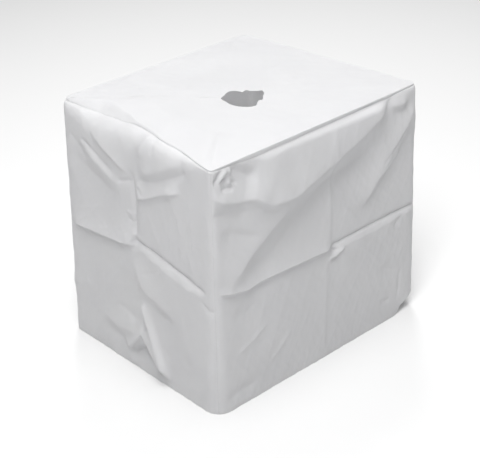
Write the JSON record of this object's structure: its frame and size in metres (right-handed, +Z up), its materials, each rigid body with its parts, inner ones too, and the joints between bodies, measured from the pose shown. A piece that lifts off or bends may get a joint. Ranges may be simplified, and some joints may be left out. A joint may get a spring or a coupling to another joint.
{
  "type": "ballast block cover",
  "caption": "Loose white cloth box, open below, that slips over a ballast block and has a torn hole in its top.",
  "frame": {"origin": "on the floor under the middle of the cover", "axes": "+Z up, +X along the long side; the picture's right face is the -Y wall and its left face is the -X wall"},
  "size_m": [1.2807, 1.0708, 1.1704],
  "materials": {
    "cover_cloth": "white coated polyester, matt with a slight sheen"
  },
  "bodies": {
    "root": {"top_panel": "cover_cloth", "wall_panel_front": "cover_cloth", "wall_panel_right": "cover_cloth", "wall_panel_back": "cover_cloth", "wall_panel_left": "cover_cloth"}
  },
  "joints": []
}
